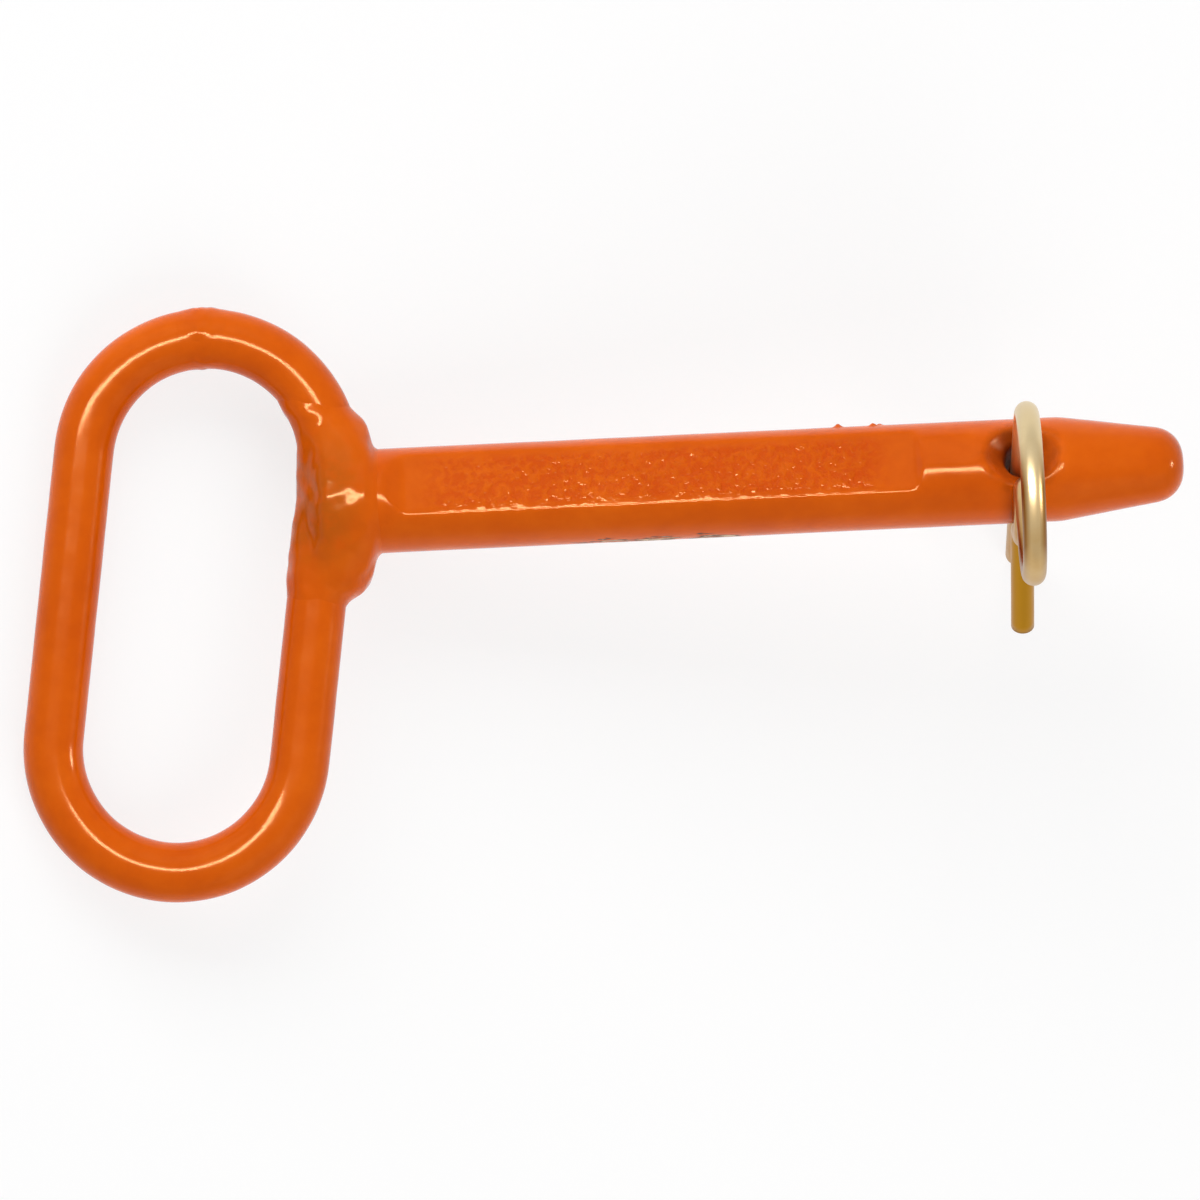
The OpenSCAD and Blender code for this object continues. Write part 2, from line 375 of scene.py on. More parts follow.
def add_node(tree, kind, settings=None, **links):
    """Adds a node. settings holds its properties and its unlinked inputs, by name or by
    number. links are its linked inputs: i0 is input 0, and Base_Color is Base Color."""
    node = tree.nodes.new(kind)
    for key, value in (settings or {}).items():
        if isinstance(key, str) and hasattr(node, key):
            setattr(node, key, value)
        else:
            node.inputs[key].default_value = value
    for key, source in links.items():
        target = node.inputs[int(key[1:]) if key[1:].isdigit() else key.replace("_", " ")]
        tree.links.new(source, target)
    return node


def new_material(name):
    """A material with no nodes yet, and its tree."""
    material = bpy.data.materials.new(name)
    material.use_nodes = True
    material.node_tree.nodes.clear()
    return material, material.node_tree


def rgba(group_colour):
    """A colour property as the four numbers of a colour socket."""
    return [*group_colour, 1.0]


def ramp(tree, source, stops):
    """A colour ramp over a value, with (position, colour) stops."""
    node = add_node(tree, "ShaderNodeValToRGB", None, i0=source)
    elements = node.color_ramp.elements
    while len(elements) < len(stops):
        elements.new(0.5)
    for element, (at, value) in zip(elements, stops):
        element.position = at
        element.color = value
    return node.outputs["Color"]


def grey(value):
    """A grey as a ramp's colour."""
    return [value, value, value, 1.0]


def place_in(tree, matrix):
    """The place on a piece in its own frame, in millimetres."""
    place = add_node(tree, "ShaderNodeTexCoord").outputs["Object"]
    inverse = matrix.inverted()
    return add_node(tree, "ShaderNodeMapping", {
        "Location": inverse.to_translation(), "Rotation": inverse.to_euler(),
        "Scale": inverse.to_scale()}, Vector=place).outputs["Vector"]


def clouds(tree, here, size, detail, roughness):
    """Noise whose patches are about this size in millimetres."""
    return add_node(tree, "ShaderNodeTexNoise", {"Scale": 1 / size, "Detail": detail,
                                                 "Roughness": roughness},
                    Vector=here).outputs[0]


def bumped(tree, height, strength, depth_mm, **links):
    """The normal over a height, where a height of 1 stands depth_mm proud."""
    return add_node(tree, "ShaderNodeBump", {"Strength": strength,
                                             "Distance": depth_mm * MM},
                    Height=height, **links).outputs[0]


def enamel_material(name, matrix, lump_mm, marked=False, pooled=False):
    """Alkyd enamel, dipped thick over bar steel and air dried: a glossy, slightly wavy film
    that runs from thin and pale to thick and deep. A marked one has the pin's mottled pad,
    painted shade in and round the cross hole, and chips; a pooled one has the brown of the
    joint weld."""
    c = bpy.context.scene.hitch_pin_colours
    material, tree = new_material(name)
    here = place_in(tree, matrix)
    # slow change of film thickness, over about 18 mm
    slow = clouds(tree, here, 18, 3.0, 0.55)
    # sags and drips in the wet film, about 5 mm
    drips = clouds(tree, here, 5, 4.0, 0.6)
    both = add_node(tree, "ShaderNodeMix", {"data_type": "FLOAT", 0: 0.4},
                    i2=slow, i3=drips)
    film = ramp(tree, both.outputs[0], [(0.34, rgba(c.enamel_deep)), (0.5, rgba(c.enamel)),
                                        (0.68, rgba(c.enamel_light))])
    # the film's waviness, lump_mm across, under fine orange peel of about 0.8 mm
    wavy = bumped(tree, clouds(tree, here, lump_mm, 2.0, 0.5), 0.3, 0.1)
    normal = bumped(tree, clouds(tree, here, 0.8, 2.0, 0.5), 0.15, 0.02, Normal=wavy)
    gloss = add_node(tree, "ShaderNodeMapRange", {"To Min": 0.1, "To Max": 0.2},
                     Value=drips).outputs[0]
    if pooled:
        film = pooled_over(tree, film, drips, here, c)
    if marked:
        film, normal = pad_mottle(tree, film, normal, here, c)
        # painted shade in and round the cross hole, with duller enamel there
        film, gloss = hole_shade_over(tree, film, gloss, here, c)
    # the highlights take on some of the enamel's orange
    shader = add_node(tree, "ShaderNodeBsdfPrincipled",
                      {"IOR": 1.45, "Specular IOR Level": 0.25,
                       "Specular Tint": (1.0, 0.62, 0.3, 1.0)},
                      Base_Color=film, Roughness=gloss, Normal=normal).outputs[0]
    if marked:
        shader = chips_over(tree, shader, here, c)
    add_node(tree, "ShaderNodeOutputMaterial", None, Surface=shader)
    return material


def turned_out(tree, here, s):
    """The place in the hole's own frame, with the hole's axis at 0, as its three parts."""
    faced = add_node(tree, "ShaderNodeMapping", {"Rotation": (s.hole_turn, 0, 0),
                                                 "Location": (-s.hole_x, 0, 0)},
                     Vector=here)
    return add_node(tree, "ShaderNodeSeparateXYZ", None, Vector=faced.outputs[0]).outputs


def within(tree, value, start, end, easing="LINEAR"):
    """0 before start and 1 after end, clamped; start may be the larger."""
    return add_node(tree, "ShaderNodeMapRange", {"interpolation_type": easing,
                                                 "From Min": start, "From Max": end},
                    Value=value).outputs[0]


def between(tree, value, stretch, origin=0):
    """The two shares that bring a finish in and take it out over a stretch."""
    start, full, ebb, end = stretch
    return (within(tree, value, start - origin, full - origin),
            within(tree, value, end - origin, ebb - origin))


def product(tree, *factors):
    """The product of the factors."""
    made, *rest = factors
    for factor in rest:
        made = add_node(tree, "ShaderNodeMath", {"operation": "MULTIPLY"},
                        i0=made, i1=factor).outputs[0]
    return made


def share_of(tree, value, share):
    """A value times a fixed share."""
    return add_node(tree, "ShaderNodeMath", {"operation": "MULTIPLY", 1: share},
                    i0=value).outputs[0]


def size_of(tree, value):
    """A value without its sign."""
    return add_node(tree, "ShaderNodeMath", {"operation": "ABSOLUTE"}, i0=value).outputs[0]


def greater(tree, a, b):
    """The greater of two values."""
    return add_node(tree, "ShaderNodeMath", {"operation": "MAXIMUM"}, i0=a,
                    i1=b).outputs[0]


def tinted(tree, film, share, group_colour):
    """The film turned to a colour by a share that changes from place to place."""
    return add_node(tree, "ShaderNodeMix", {"data_type": "RGBA", 7: rgba(group_colour)},
                    i0=share, i6=film).outputs["Result"]


def pooled_over(tree, film, drips, here, c):
    """The thick, browner film that pools in the joint weld, fading out along the bar and
    the pin."""
    s = sizes()
    parts = add_node(tree, "ShaderNodeSeparateXYZ", None, Vector=here).outputs
    deep = product(tree, within(tree, size_of(tree, parts["Y"]), s.bead_spread - 3, 5),
                   within(tree, parts["X"], s.bead_len - 0.5, 2),
                   within(tree, drips, 0.25, 0.55))
    return tinted(tree, film, share_of(tree, deep, 0.75), c.enamel_pooled)


def pad_mottle(tree, film, normal, here, c):
    """The film over the forged pad, lumpy and redder in its hollows."""
    s = sizes()
    parts = turned_out(tree, here, s)
    flat_z = s.pin_r - s.pad_depth
    # along the pad, across it, and only on its face
    zone = product(tree, *between(tree, parts["X"], MOTTLED, s.hole_x),
                   within(tree, size_of(tree, parts["Y"]), 6.4, 4.6),
                   within(tree, parts["Z"], flat_z - 0.6, flat_z - 0.3))
    # the forged face's lumps, about 1.5 mm across and up to 0.6 mm high
    lump = clouds(tree, here, 1.5, 2.0, 0.5)
    hollow = product(tree, zone, within(tree, lump, 0.62, 0.42))
    return (tinted(tree, film, share_of(tree, hollow, 0.5), c.enamel_red),
            bumped(tree, product(tree, zone, lump), 0.7, 0.6, Normal=normal))


def hole_shade_over(tree, film, gloss, here, c):
    """Painted shade: dark brown laid over the enamel in the cross hole and round its
    countersink, where shade falls, and the enamel made quite dull there."""
    s = sizes()
    parts = turned_out(tree, here, s)
    flat = add_node(tree, "ShaderNodeCombineXYZ", None, X=parts["X"], Y=parts["Y"])
    away = add_node(tree, "ShaderNodeVectorMath", {"operation": "LENGTH"},
                    i0=flat.outputs[0])
    # noise of about 2.5 mm makes the painted shade's edge wander by up to 5 mm
    reach = add_node(tree, "ShaderNodeMath", {"operation": "MULTIPLY_ADD", 1: 5.0},
                     i0=clouds(tree, here, 2.5, 4.0, 0.5), i2=away.outputs["Value"])
    # the share of painted shade: up to 0.62 near the hole, and none beyond the countersink
    hole_shade_share = add_node(tree, "ShaderNodeMapRange",
                    {"From Min": s.sink_d / 2 + 3.2, "From Max": s.hole_r + 1.6,
                     "To Min": 0.0, "To Max": 0.62}, Value=reach.outputs[0]).outputs[0]
    gloss = add_node(tree, "ShaderNodeMix", {"data_type": "FLOAT", 3: 0.8},
                     i0=hole_shade_share, i2=gloss).outputs[0]
    return tinted(tree, film, hole_shade_share, c.hole_shade), gloss


def chips_over(tree, painted, here, c):
    """Chips along the pin's lower side, down to dull steel with rust at their rims; the
    steel is made pale, partly as a painted highlight along that edge.
    """
    s = sizes()
    parts = add_node(tree, "ShaderNodeSeparateXYZ", None, Vector=here).outputs
    # thinning out at both ends and up from the pin's lowest side
    zone = product(tree, within(tree, parts["Y"], 2.8 - s.pin_r, 0.5 - s.pin_r),
                   *between(tree, parts["X"], CHIPPED))
    # knocks about 6 mm long and 1.3 mm wide, with ragged rims
    stretched = add_node(tree, "ShaderNodeMapping", {"Scale": (0.16, 0.8, 0.8)},
                         Vector=here).outputs[0]
    depth = product(tree, zone, clouds(tree, stretched, 1.0, 4.0, 0.6))
    bare = ramp(tree, depth, [(0.475, grey(0)), (0.495, grey(1))])
    # the chips' steel is made pale, partly as a painted highlight along the lower edge; the
    # rust at their rims is their own
    rim = ramp(tree, depth, [(0.53, rgba(c.rust)), (0.59, rgba(c.chip_steel_and_glint))])
    steel = add_node(tree, "ShaderNodeBsdfPrincipled", {"Metallic": 0.2, "Roughness": 0.6},
                     Base_Color=rim)
    return add_node(tree, "ShaderNodeMixShader", None, i0=bare, i1=painted,
                    i2=steel.outputs[0]).outputs[0]


def zinc_material(matrix):
    """Drawn spring wire, zinc plated and yellow passivated: bright metal under a patchy
    gold film, slightly rough from the die. Its pale eye, and its deeper gold and brown
    elsewhere, are partly painted light and shade."""
    c = bpy.context.scene.hitch_pin_colours
    material, tree = new_material("yellow_passivated_zinc_wire")
    here = place_in(tree, matrix)
    parts = add_node(tree, "ShaderNodeSeparateXYZ", None, Vector=here).outputs
    # painted light and shade: the film is made palest at the eye, where it stands in for
    # the highlight, and deeper gold down the legs and towards the outer leg as painted
    # shade;
    # the patches are the film's own uneven tone
    down = within(tree, parts["X"], -45, 20, "SMOOTHERSTEP")
    over = within(tree, parts["Y"], 4, 36)
    patches = clouds(tree, here, 7, 4.0, 0.6)
    depth = add_node(tree, "ShaderNodeMix", {"data_type": "FLOAT", 0: 0.3},
                     i2=down, i3=patches).outputs[0]
    depth = add_node(tree, "ShaderNodeMath", {"operation": "MULTIPLY_ADD", 1: 0.4},
                     i0=over, i2=depth).outputs[0]
    film = ramp(tree, depth, [(0.22, rgba(c.zinc)), (0.85, rgba(c.gold_passivate_and_shade))])
    # painted reflection and shade: the eye's flanks are made brown where they mirror the
    # orange pin and lie in shade
    run = product(tree, *between(tree, parts["Y"], FLANK_SHADE),
                  within(tree, size_of(tree, parts["Z"]), 0.9, 2.0),
                  within(tree, parts["X"], -16, -20))
    film = tinted(tree, film, run, c.zinc_flank_shade)
    dull = add_node(tree, "ShaderNodeMapRange", {"To Min": 0.22, "To Max": 0.42},
                    Value=patches).outputs[0]
    # the die's marks, drawn about 0.7 mm across so that they show
    rough = bumped(tree, clouds(tree, here, 0.7, 3.0, 0.6), 0.3, 0.03)
    metal = add_node(tree, "ShaderNodeBsdfPrincipled", {"Metallic": 1.0},
                     Base_Color=film, Roughness=dull, Normal=rough)
    add_node(tree, "ShaderNodeOutputMaterial", None, Surface=metal.outputs[0])
    return material


def floor_material():
    """Matt white board. It adds light of its own only to what the camera and a glossy
    surface see, so it stays pale and keeps the object's shadow."""
    c = bpy.context.scene.hitch_pin_colours
    material, tree = new_material("matt_white_board")
    board = add_node(tree, "ShaderNodeBsdfDiffuse", {"Color": rgba(c.floor)})
    glow = add_node(tree, "ShaderNodeEmission", {"Color": rgba(c.floor), "Strength": 1.0})
    path = add_node(tree, "ShaderNodeLightPath").outputs
    seen = greater(tree, path["Is Camera Ray"], path["Is Glossy Ray"])
    seen = greater(tree, seen, path["Is Transmission Ray"])
    mixed = add_node(tree, "ShaderNodeMixShader", None, i0=share_of(tree, seen, 0.78),
                     i1=board.outputs[0], i2=glow.outputs[0])
    add_node(tree, "ShaderNodeOutputMaterial", None, Surface=mixed.outputs[0])
    return material


# ---- Operators ---------------------------------------------------------------------------

FLOOR_HALF = 6  # half the floor's side, in metres
LOOK_AT = (59.64, -14.26, 0)  # the middle of the view, in the handle frame
CAMERA_DISTANCE = 2.2  # metres
VIEW_WIDTH = 0.254  # metres across the view at that distance
CAMERA_ROLL = radians(6)
SENSOR_WIDTH = 36  # millimetres

# The lamps: how far right and up they stand for each metre out from the handle's face,
# their distance, width and height in metres, their power in watts, and whether they
# shine. One that shines shows only as a highlight, and the others only give light.
LAMPS = (
    ("strip", -0.21, 0.17, 1.7, 1.4, 0.22, 60, True),
    ("glint", 3.4, 0.5, 2.0, 0.3, 0.3, 14, True),
    ("overhead", -0.5, 1.2, 1.6, 1.6, 0.9, 20, False),
    ("fill", 0.9, -1.1, 1.8, 1.2, 1.2, 15, False),
)


class HITCHPIN_OT_stage(bpy.types.Operator):
    """Make the pale floor, the lamps, the world and the camera"""

    bl_idname = "hitch_pin.stage"
    bl_label = "Stage"

    def execute(self, context):
        scene = context.scene
        scene.view_settings.view_transform = "Standard"
        frame = handle_frame(sizes())
        to_row = (frame @ Matrix.Scale(1 / MM, 4)).to_3x3().to_4x4()
        middle = frame @ Vector(LOOK_AT)
        self.floor(scene)
        self.room(scene)
        for lamp in LAMPS:
            self.lamp(scene, to_row, middle, *lamp)
        self.camera(scene, to_row, middle)
        return {"FINISHED"}

    def floor(self, scene):
        """The pale floor."""
        bm = bmesh.new()
        bmesh.ops.create_grid(bm, x_segments=1, y_segments=1, size=FLOOR_HALF)
        floor = bpy.data.objects.new("floor", mesh_of(bm, "floor"))
        scene.collection.objects.link(floor)
        floor.data.materials.append(floor_material())

    def room(self, scene):
        """A soft white room, white to the camera and brighter in a reflection than it
        lights."""
        world = bpy.data.worlds.new("soft_room")
        world.use_nodes = True
        tree = world.node_tree
        path = add_node(tree, "ShaderNodeLightPath").outputs
        strength = add_node(tree, "ShaderNodeMapRange", {"To Min": 0.33, "To Max": 0.75},
                            Value=path["Is Glossy Ray"]).outputs[0]
        strength = greater(tree, strength, path["Is Camera Ray"])
        sky = tree.nodes["Background"].inputs
        sky["Color"].default_value = (1, 1, 1, 1)
        tree.links.new(strength, sky["Strength"])
        scene.world = world

    def lamp(self, scene, to_row, middle, name, right, up, distance, wide, high, power,
             shines):
        """A soft lamp that faces the middle of the view."""
        light = bpy.data.lights.new(name, "AREA")
        light.shape, light.size, light.size_y, light.energy = "RECTANGLE", wide, high, power
        obj = bpy.data.objects.new(name, light)
        scene.collection.objects.link(obj)
        obj.visible_glossy, obj.visible_diffuse = shines, not shines
        away = (to_row @ Vector((right, up, 1))).normalized()
        across = (to_row @ Vector((1, 0, 0))).cross(away).cross(away).normalized() * -1
        obj.matrix_world = basis(across, away.cross(across), away,
                                 middle + away * distance)

    def camera(self, scene, to_row, middle):
        """The camera, square to the handle's face and rolled."""
        camera = bpy.data.cameras.new("camera")
        camera.sensor_width = SENSOR_WIDTH
        camera.lens = camera.sensor_width * CAMERA_DISTANCE / VIEW_WIDTH
        camera.clip_start, camera.clip_end = 0.05, 20
        obj = bpy.data.objects.new("camera", camera)
        scene.collection.objects.link(obj)
        rolled = to_row @ Matrix.Rotation(CAMERA_ROLL, 4, "Z")
        obj.matrix_world = Matrix.Translation(middle) @ rolled @ Matrix.Translation(
            (0, 0, CAMERA_DISTANCE))
        scene.camera = obj


# Faces round a full turn of each piece, and steps along or round each stretch of it
PIN_SIDES, CUTTER_SIDES, BEAD_SIDES, BAR_SIDES, WIRE_SIDES = 192, 96, 96, 56, 32
NOSE_STEPS, BAR_SIDE_STEPS, BAR_BEND_STEPS = 10, 60, 84
SEAM_STEPS, STUB_STEPS, LEG_STEPS, FLARE_STEPS, TIP_STEPS = 40, 14, 40, 14, 8
PAD_START_SLOPE = radians(28)
# Voxel in millimetres, and smoothing passes, of the skins over the shank and the joint bead
SHANK_SKIN, BEAD_SKIN = (0.42, 14), (0.45, 44)
# The radii of the drip in the hole, how far its middle lies outside the hole's wall, and
# how far it lies above the pin's far side, in millimetres
DRIP_RADII, DRIP_OUT, DRIP_UP = (3.4, 2.0, 2.0), 0.2, 2.6
# Each nib's place along the pin and above its middle, height and radius, in millimetres
NIBS = ((108.8, 1.0, 0.75, 0.5), (116.2, 1.6, 0.65, 0.45), (117.6, 0.6, 0.35, 0.4))


def pin_blank(s):
    """The turned blank: shank, taper and rounded nose, spun round the pin's axis."""
    taper_x = s.pin_len - s.taper_len
    nose_x = s.pin_len - s.nose_r
    tangent_x = nose_x + s.nose_r * sin(s.taper_angle)
    tangent_r = s.pin_r - (tangent_x - taper_x) * tan(s.taper_angle)
    ring_r = tangent_r - s.nose_r * cos(s.taper_angle)
    profile = [(0, 0), (0, s.pin_r), (taper_x, s.pin_r)]
    for i in range(NOSE_STEPS + 1):
        a = s.taper_angle + (pi / 2 - s.taper_angle) * i / NOSE_STEPS
        profile.append((nose_x + s.nose_r * sin(a), ring_r + s.nose_r * cos(a)))
    profile.append((s.pin_len, 0))
    bm = bmesh.new()
    verts = [bm.verts.new((x, r, 0)) for x, r in profile]
    edges = [bm.edges.new(pair) for pair in zip(verts, verts[1:])]
    bmesh.ops.spin(bm, geom=verts + edges, cent=(0, 0, 0), axis=(1, 0, 0), angle=2 * pi,
                   steps=PIN_SIDES, use_merge=True)
    bmesh.ops.remove_doubles(bm, verts=bm.verts, dist=0.0005)
    bmesh.ops.recalc_face_normals(bm, faces=bm.faces)
    return bm


def flat_cutter(s, start, run_len, depth, turned, first_slope):
    """A prism that cuts a flat across the pin, with sloping ends."""
    rise = depth + 1
    flat_z = s.pin_r - depth
    bm = bmesh.new()
    outline = [(start, flat_z), (start + run_len, flat_z),
               (start + run_len + rise / tan(s.pad_end_angle), flat_z + rise),
               (start - rise / tan(first_slope), flat_z + rise)]
    verts = [bm.verts.new((x, -s.pin_r, z)) for x, z in outline]
    face = bm.faces.new(verts)
    made = bmesh.ops.extrude_face_region(bm, geom=[face])["geom"]
    bmesh.ops.translate(bm, verts=last_of(made)[0], vec=(0, 2 * s.pin_r, 0))
    bmesh.ops.recalc_face_normals(bm, faces=bm.faces)
    bmesh.ops.rotate(bm, verts=bm.verts, cent=(0, 0, 0),
                     matrix=Matrix.Rotation(-turned, 3, "X"))
    return bm


def hole_cutters(s):
    """The cross hole, its countersink and its exit chamfer."""
    sink = s.sink_d / 2 - s.hole_r
    shapes = [(s.hole_r, s.hole_r, 2 * s.pin_r + 2, 0),
              (s.hole_r, s.hole_r + s.sink_d, s.sink_d, s.pin_r - sink + s.sink_d / 2),
              (s.hole_r + s.exit_chamfer + 1, s.hole_r, s.exit_chamfer + 1,
               -s.pin_r + s.exit_chamfer - (s.exit_chamfer + 1) / 2)]
    cutters = []
    for low_r, high_r, height, middle in shapes:
        bm = bmesh.new()
        bmesh.ops.create_cone(bm, cap_ends=True, segments=CUTTER_SIDES, radius1=low_r,
                              radius2=high_r, depth=height,
                              matrix=Matrix.Translation((s.hole_x, 0, middle)))
        bmesh.ops.rotate(bm, verts=bm.verts, cent=(0, 0, 0),
                         matrix=Matrix.Rotation(-s.hole_turn, 3, "X"))
        cutters.append(bm)
    return cutters


class HITCHPIN_OT_shank(bpy.types.Operator):
    """Make the shank: the turned blank with its pad, its cross hole and its enamel"""

    bl_idname = "hitch_pin.shank"
    bl_label = "Shank"

    def execute(self, context):
        s = sizes()
        cutters = [flat_cutter(s, s.pad_start, s.pad_len, s.pad_depth, s.hole_turn,
                               PAD_START_SLOPE),
                   flat_cutter(s, s.pad_start + s.pad_len, s.runout_len, s.runout_depth,
                               s.hole_turn + s.runout_turn, s.pad_end_angle)]
        cutters += hole_cutters(s)
        bm = carved(pin_blank(s), cutters)
        # a drip of enamel that has set in the hole, on the side that the leg leaves free
        bmesh.ops.create_icosphere(
            bm, subdivisions=3, radius=1,
            matrix=Matrix.Rotation(-s.hole_turn, 4, "X")
            @ Matrix.Translation((s.hole_x, s.hole_r + DRIP_OUT, DRIP_UP - s.pin_r))
            @ Matrix.Diagonal((*DRIP_RADII, 1)))
        bm = skinned(bm, *SHANK_SKIN)
        flat_z = s.pin_r - s.pad_depth
        up = Vector((0, sin(s.hole_turn), cos(s.hole_turn)))
        start, full, ebb, end = LUMPY

        def film(p, n):
            """The enamel's thickness over the bare form."""
            # pooled, lumpy enamel where the pad lies, fading out at its ends
            on_pad = (blend_in(n.dot(up), 0.9, 0.99)
                      * blend_in(flat_z + 0.5 - p.dot(up), 0, 0.4))
            on_pad *= blend_in(p.x, start, full) * blend_in(-p.x, -end, -ebb)
            lump = 0.07 * lumps(p, 2.6, 3.0) + 0.04 * lumps(p, 1.3, 5.0)
            # nibs of dust under the film on the upper side
            nib = sum(h * exp(-((p.x - x) ** 2 + (p.z - z) ** 2) / (2 * w * w))
                      for x, z, h, w in NIBS)
            nib *= blend_in(p.y, 7, 9)
            return on_pad * lump + nib + 0.035 * lumps(p, 9, 1.0)

        swell(bm, film)
        place_piece("enamelled_shank", bm, shank_frame(s),
                    enamel_material("alkyd_enamel_dipped_shank", shank_frame(s), 3.2,
                                    marked=True),
                    "pin", "pin_enamel", "shank")
        return {"FINISHED"}


class HITCHPIN_OT_handle(bpy.types.Operator):
    """Make the handle: one round bar bent into a closed loop"""

    bl_idname = "hitch_pin.handle"
    bl_label = "Handle"

    def execute(self, context):
        s = sizes()
        bm = bmesh.new()
        low, high = -s.pin_offset - s.half_side, -s.pin_offset + s.half_side
        start = Matrix.Translation((0, low, 0)) @ Matrix.Rotation(-pi / 2, 4, "X")
        verts, edges = ring(bm, s.bar_r, BAR_SIDES, start)
        for side, centre_y in ((1, high), (-1, low)):
            step = side * s.half_side / (BAR_SIDE_STEPS / 2)
            verts, edges = run_straight(bm, verts, edges, (0, step, 0), BAR_SIDE_STEPS)
            verts, edges = run_bend(bm, verts, edges, (-s.bend_r, centre_y, 0), (0, 0, 1),
                                    pi, BAR_BEND_STEPS)
        bmesh.ops.remove_doubles(bm, verts=bm.verts, dist=0.005)
        bmesh.ops.recalc_face_normals(bm, faces=bm.faces)
        swell(bm, lambda p, n: 0.06 * lumps(p, 11, 2.0) + 0.03 * lumps(p, 4, 4.0))
        place_piece("enamelled_handle", bm, handle_frame(s),
                    enamel_material("alkyd_enamel_dipped_bar", handle_frame(s), 4.0),
                    "pin", "pin_enamel", "handle_loop")
        return {"FINISHED"}


BAR_RUN, PIN_RUN = 9, 4  # how far the bead's skin runs on over the bar and the pin, in mm
UNDER = 0.02  # how far it starts under the bar's and the pin's own faces
SEAM_REACH = 6.5  # half the length of the seam weld's piece


class HITCHPIN_OT_welds(bpy.types.Operator):
    """Make the bead that joins the pin to its handle, and the weld that closes the loop"""

    bl_idname = "hitch_pin.welds"
    bl_label = "Welds"

    def execute(self, context):
        s = sizes()
        self.joint_bead(s)
        self.seam_weld(s)
        return {"FINISHED"}

    def joint_bead(self, s):
        """The bead's lobes and the pin's collar in one hull, run into the bar by a skin."""
        lobe_r = s.bar_r + s.bead_skin
        lobe_y = s.bead_spread - lobe_r
        shift = s.bead_skin + 0.2
        into_bend = max(0, lobe_y + s.pin_offset - s.half_side)
        upper_x = sqrt(s.bend_r ** 2 - into_bend ** 2) - s.bend_r
        to_handle = Matrix.Rotation(s.lean, 4, "Z")
        bm = bmesh.new()
        for x, y in ((upper_x + shift, lobe_y), (shift, 0), (shift + s.bead_sag, -lobe_y)):
            bmesh.ops.create_icosphere(bm, subdivisions=4, radius=lobe_r,
                                       matrix=Matrix.Translation((x, y, 0)))
        square_on = Matrix.Rotation(pi / 2, 4, "Y")
        for x in (0, s.bead_len):
            ring(bm, s.pin_r + s.bead_lip, BEAD_SIDES,
                 to_handle @ Matrix.Translation((x, 0, 0)) @ square_on)
        hull = bmesh.ops.convex_hull(bm, input=bm.verts)
        bmesh.ops.delete(bm, geom=list({g for key in ("geom_interior", "geom_unused")
                                        for g in hull[key]
                                        if isinstance(g, bmesh.types.BMVert)}),
                         context="VERTS")
        # a stretch of the bar and of the pin, which the skin then runs into
        verts, edges = ring(bm, s.bar_r - UNDER, BAR_SIDES,
                            Matrix.Translation((0, -s.bead_spread - BAR_RUN, 0))
                            @ Matrix.Rotation(-pi / 2, 4, "X"))
        close_ring(bm, edges)
        bend_y = s.half_side - s.pin_offset
        verts, edges = run_straight(bm, verts, edges,
                                    (0, s.bead_spread + BAR_RUN + bend_y, 0), 1)
        verts, edges = run_bend(bm, verts, edges, (-s.bend_r, bend_y, 0), (0, 0, 1),
                                (s.bead_spread + BAR_RUN - bend_y) / s.bend_r,
                                STUB_STEPS)
        close_ring(bm, edges)
        verts, edges = ring(bm, s.pin_r - UNDER, BEAD_SIDES, to_handle @ square_on)
        close_ring(bm, edges)
        step = to_handle @ Vector((s.bead_len + PIN_RUN, 0, 0))
        verts, edges = run_straight(bm, verts, edges, step, 1)
        close_ring(bm, edges)
        bmesh.ops.recalc_face_normals(bm, faces=bm.faces)
        bm = skinned(bm, *BEAD_SKIN)
        back = to_handle.inverted()

        def ripples(p, n):
            """The bead's lumps, which fade out where its skin meets the bar and the pin."""
            along = (back @ p).x
            fade = blend_in(-along, -s.bead_len - 1.5, -s.bead_len + 2)
            fade *= blend_in(s.bead_spread + 2 - abs(p.y), 0, 5)
            height = 0.6 + 0.45 * lumps(p, 8, 7.0) + 0.24 * lumps(p, 2.9, 9.0)
            return fade * height - 0.12

        swell(bm, ripples)
        place_piece("enamelled_joint_bead", bm, handle_frame(s),
                    enamel_material("alkyd_enamel_pooled_bead", handle_frame(s), 2.6,
                                    pooled=True),
                    "pin", "weld_enamel", "handle_weld")

    def seam_weld(self, s):
        """A short swollen length of bar with a rough crown."""
        bm = bmesh.new()
        centre = Vector((-s.bend_r, -s.pin_offset + s.half_side, 0))
        half = SEAM_REACH / s.bend_r
        begin = (Matrix.Translation(centre) @ Matrix.Rotation(s.seam_angle - half, 4, "Z")
                 @ Matrix.Translation((s.bend_r, 0, 0)) @ Matrix.Rotation(-pi / 2, 4, "X"))
        verts, edges = ring(bm, s.bar_r, BAR_SIDES, begin)
        close_ring(bm, edges)
        verts, edges = run_bend(bm, verts, edges, centre, (0, 0, 1), 2 * half, SEAM_STEPS)
        close_ring(bm, edges)
        bmesh.ops.recalc_face_normals(bm, faces=bm.faces)

        def crown(p, n):
            """Swollen in the middle, with lumps, and just inside the bar at its ends."""
            out = p - centre
            off = abs(atan2(out.y, out.x) - s.seam_angle) * s.bend_r
            rise = exp(-(off / 2.6) ** 2)
            outer = blend_in(out.length, s.bend_r - 2, s.bend_r + 6)
            rough = 0.3 * lumps(p, 2.4, 11.0) + 0.14 * lumps(p, 1.2, 13.0)
            return (((0.1 + 0.4 * outer) * s.seam_lip + rough) * rise
                    - 0.25 * blend_in(off, 4, SEAM_REACH))

